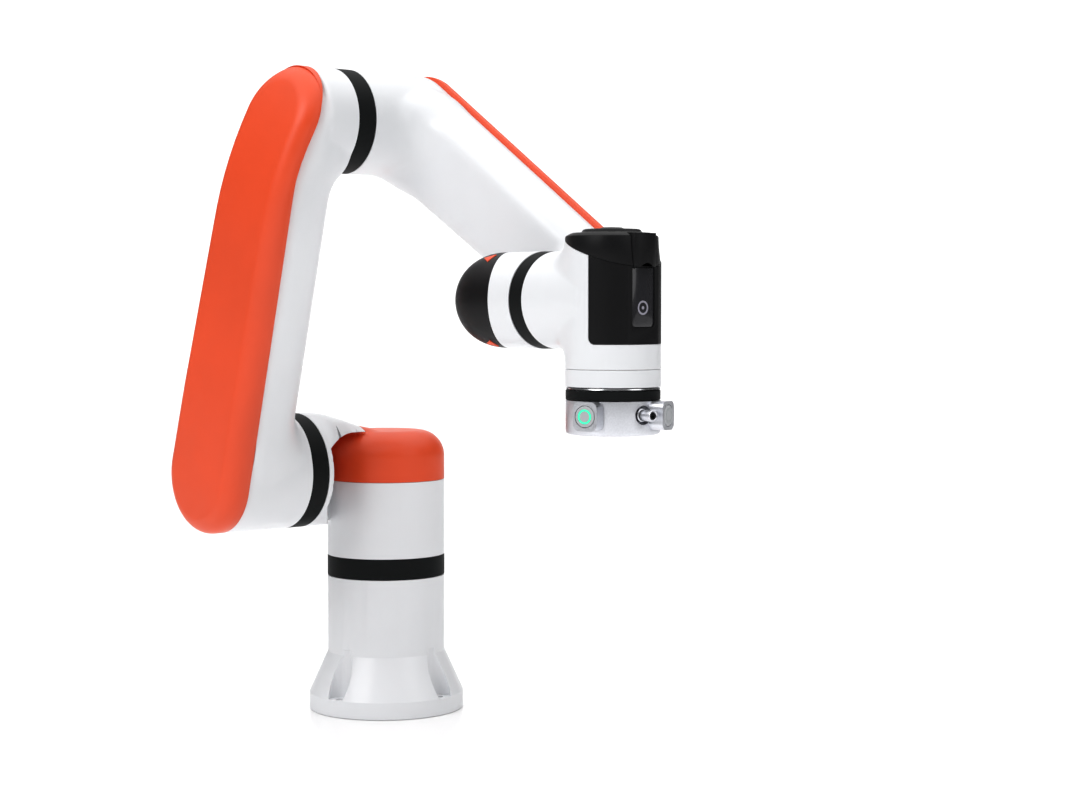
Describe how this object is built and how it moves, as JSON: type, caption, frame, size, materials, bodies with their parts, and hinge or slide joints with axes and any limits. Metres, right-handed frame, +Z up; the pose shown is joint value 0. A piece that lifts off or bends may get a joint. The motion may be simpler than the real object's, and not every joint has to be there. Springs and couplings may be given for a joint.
{
  "type": "collaborative robot arm",
  "caption": "Tabletop six-axis robot arm with white tubular links, orange link covers, black joint rings and a bolted aluminium tool flange.",
  "frame": {"origin": "centre of the foot's underside, on the base joint's axis", "axes": "+Z up along the base joint's axis; +X the way the arm reaches at rest; the upper arm hangs on the -Y side of the shoulder"},
  "size_m": [0.4856, 0.2449, 0.5091],
  "materials": {
    "white": "satin",
    "orange": "satin",
    "black": "satin",
    "gloss": "gloss",
    "seal": "matte",
    "aluminium": "satin",
    "trim": "polished",
    "steel": "brushed",
    "copper": "lacquered",
    "board": "matte",
    "button": "satin",
    "light": "gloss"
  },
  "bodies": {
    "base": {"base_foot": "white", "cable_inlet": "black", "cable_inlet_insert": "black", "j1_seal_ring": "seal", "j1_stator": "copper", "j1_reducer": "steel", "j1_board": "board"},
    "shoulder": {"shoulder_housing": "white", "shoulder_cap": "orange", "j1_output": "aluminium", "j2_output": "aluminium"},
    "upper_arm": {"upper_arm": "white", "upper_arm_cover": "orange", "j2_seal_ring": "seal", "j2_stator": "copper", "j2_reducer": "steel", "j2_board": "board", "j3_seal_ring": "seal", "j3_stator": "copper", "j3_reducer": "steel", "j3_board": "board"},
    "forearm": {"forearm": "white", "forearm_cover": "orange", "j3_output": "aluminium", "j4_seal_ring": "seal", "j4_stator": "copper", "j4_reducer": "steel"},
    "wrist_1": {"wrist1_housing": "white", "wrist1_cap": "black", "wrist1_clip_upper": "orange", "wrist1_clip_lower": "orange", "j4_output": "aluminium", "j5_seal_ring": "seal", "j5_stator": "copper", "j5_reducer": "steel"},
    "wrist_2": {"wrist2_housing": "white", "wrist2_cap": "black", "wrist2_visor": "black", "wrist2_hood": "black", "wrist2_panel": "gloss", "wrist2_collar": "white", "wrist2_rim": "trim", "j5_output": "aluminium", "j6_seal_ring": "seal", "j6_stator": "copper", "j6_reducer": "steel"},
    "tool_flange": {"tool_flange": "aluminium", "port_barrel": "aluminium", "port_insert": "black", "j6_output": "aluminium"},
    "button_1": {"flange_button_1": "button", "button_light_1": "light"},
    "button_2": {"flange_button_2": "button", "button_light_2": "light"},
    "rotor_1": {"j1_rotor": "steel"},
    "rotor_2": {"j2_rotor": "steel"},
    "rotor_3": {"j3_rotor": "steel"},
    "rotor_4": {"j4_rotor": "steel"},
    "rotor_5": {"j5_rotor": "steel"},
    "rotor_6": {"j6_rotor": "steel"}
  },
  "joints": [
    {"name": "base_joint", "type": "hinge", "parent": "base", "child": "shoulder", "pos_m": [0, 0, 0.11845], "axis": [0, 0, 1], "range_deg": [-175, 175]},
    {"name": "shoulder_joint", "type": "hinge", "parent": "shoulder", "child": "upper_arm", "pos_m": [0, -0.09625, 0.2], "axis": [0, 1, 0], "range_deg": [-151.5, 118.5]},
    {"name": "elbow_joint", "type": "hinge", "parent": "upper_arm", "child": "forearm", "pos_m": [0.08019, -0.1051, 0.46984], "axis": [0, -1, 0], "range_deg": [-42.35, 257.65]},
    {"name": "wrist_1_joint", "type": "hinge", "parent": "forearm", "child": "wrist_1", "pos_m": [0.27893, -0.062, 0.33477], "axis": [0, 1, 0], "range_deg": [-140.8, 209.2]},
    {"name": "wrist_2_joint", "type": "hinge", "parent": "wrist_1", "child": "wrist_2", "pos_m": [0.32073, -0.101, 0.33477], "axis": [1, 0, 0], "range_deg": [-85, 265]},
    {"name": "wrist_3_joint", "type": "hinge", "parent": "wrist_2", "child": "tool_flange", "pos_m": [0.38123, -0.101, 0.27312], "axis": [0, 0, -1], "range_deg": [-175, 175]},
    {"name": "rotor_1_spin", "type": "hinge", "parent": "base", "child": "rotor_1", "pos_m": [0, 0, 0.11845], "axis": [0, 0, 1], "range_deg": [-17711, 17711]},
    {"name": "rotor_2_spin", "type": "hinge", "parent": "upper_arm", "child": "rotor_2", "pos_m": [0, -0.09625, 0.2], "axis": [0, 1, 0], "range_deg": [-15333, 15333]},
    {"name": "rotor_3_spin", "type": "hinge", "parent": "upper_arm", "child": "rotor_3", "pos_m": [0.08019, -0.1051, 0.46984], "axis": [0, -1, 0], "range_deg": [-26075, 26075]},
    {"name": "rotor_4_spin", "type": "hinge", "parent": "forearm", "child": "rotor_4", "pos_m": [0.27893, -0.062, 0.33477], "axis": [0, 1, 0], "range_deg": [-21172, 21172]},
    {"name": "rotor_5_spin", "type": "hinge", "parent": "wrist_1", "child": "rotor_5", "pos_m": [0.32073, -0.101, 0.33477], "axis": [1, 0, 0], "range_deg": [-26819, 26819]},
    {"name": "rotor_6_spin", "type": "hinge", "parent": "wrist_2", "child": "rotor_6", "pos_m": [0.38123, -0.101, 0.27312], "axis": [0, 0, -1], "range_deg": [-17711, 17711]},
    {"name": "button_1_press", "type": "slide", "parent": "tool_flange", "child": "button_1", "axis": [-0.3453, 0.9385, 0], "range_m": [0, 0.0009], "stiffness_N_per_m": 900},
    {"name": "button_2_press", "type": "slide", "parent": "tool_flange", "child": "button_2", "axis": [-0.9385, -0.3453, 0], "range_m": [0, 0.0009], "stiffness_N_per_m": 900}
  ],
  "couplings": [
    {"joint": "rotor_1_spin", "follows": "base_joint", "ratio": -101},
    {"joint": "rotor_2_spin", "follows": "shoulder_joint", "ratio": -101},
    {"joint": "rotor_3_spin", "follows": "elbow_joint", "ratio": -101},
    {"joint": "rotor_4_spin", "follows": "wrist_1_joint", "ratio": -101},
    {"joint": "rotor_5_spin", "follows": "wrist_2_joint", "ratio": -101},
    {"joint": "rotor_6_spin", "follows": "wrist_3_joint", "ratio": -101}
  ]
}
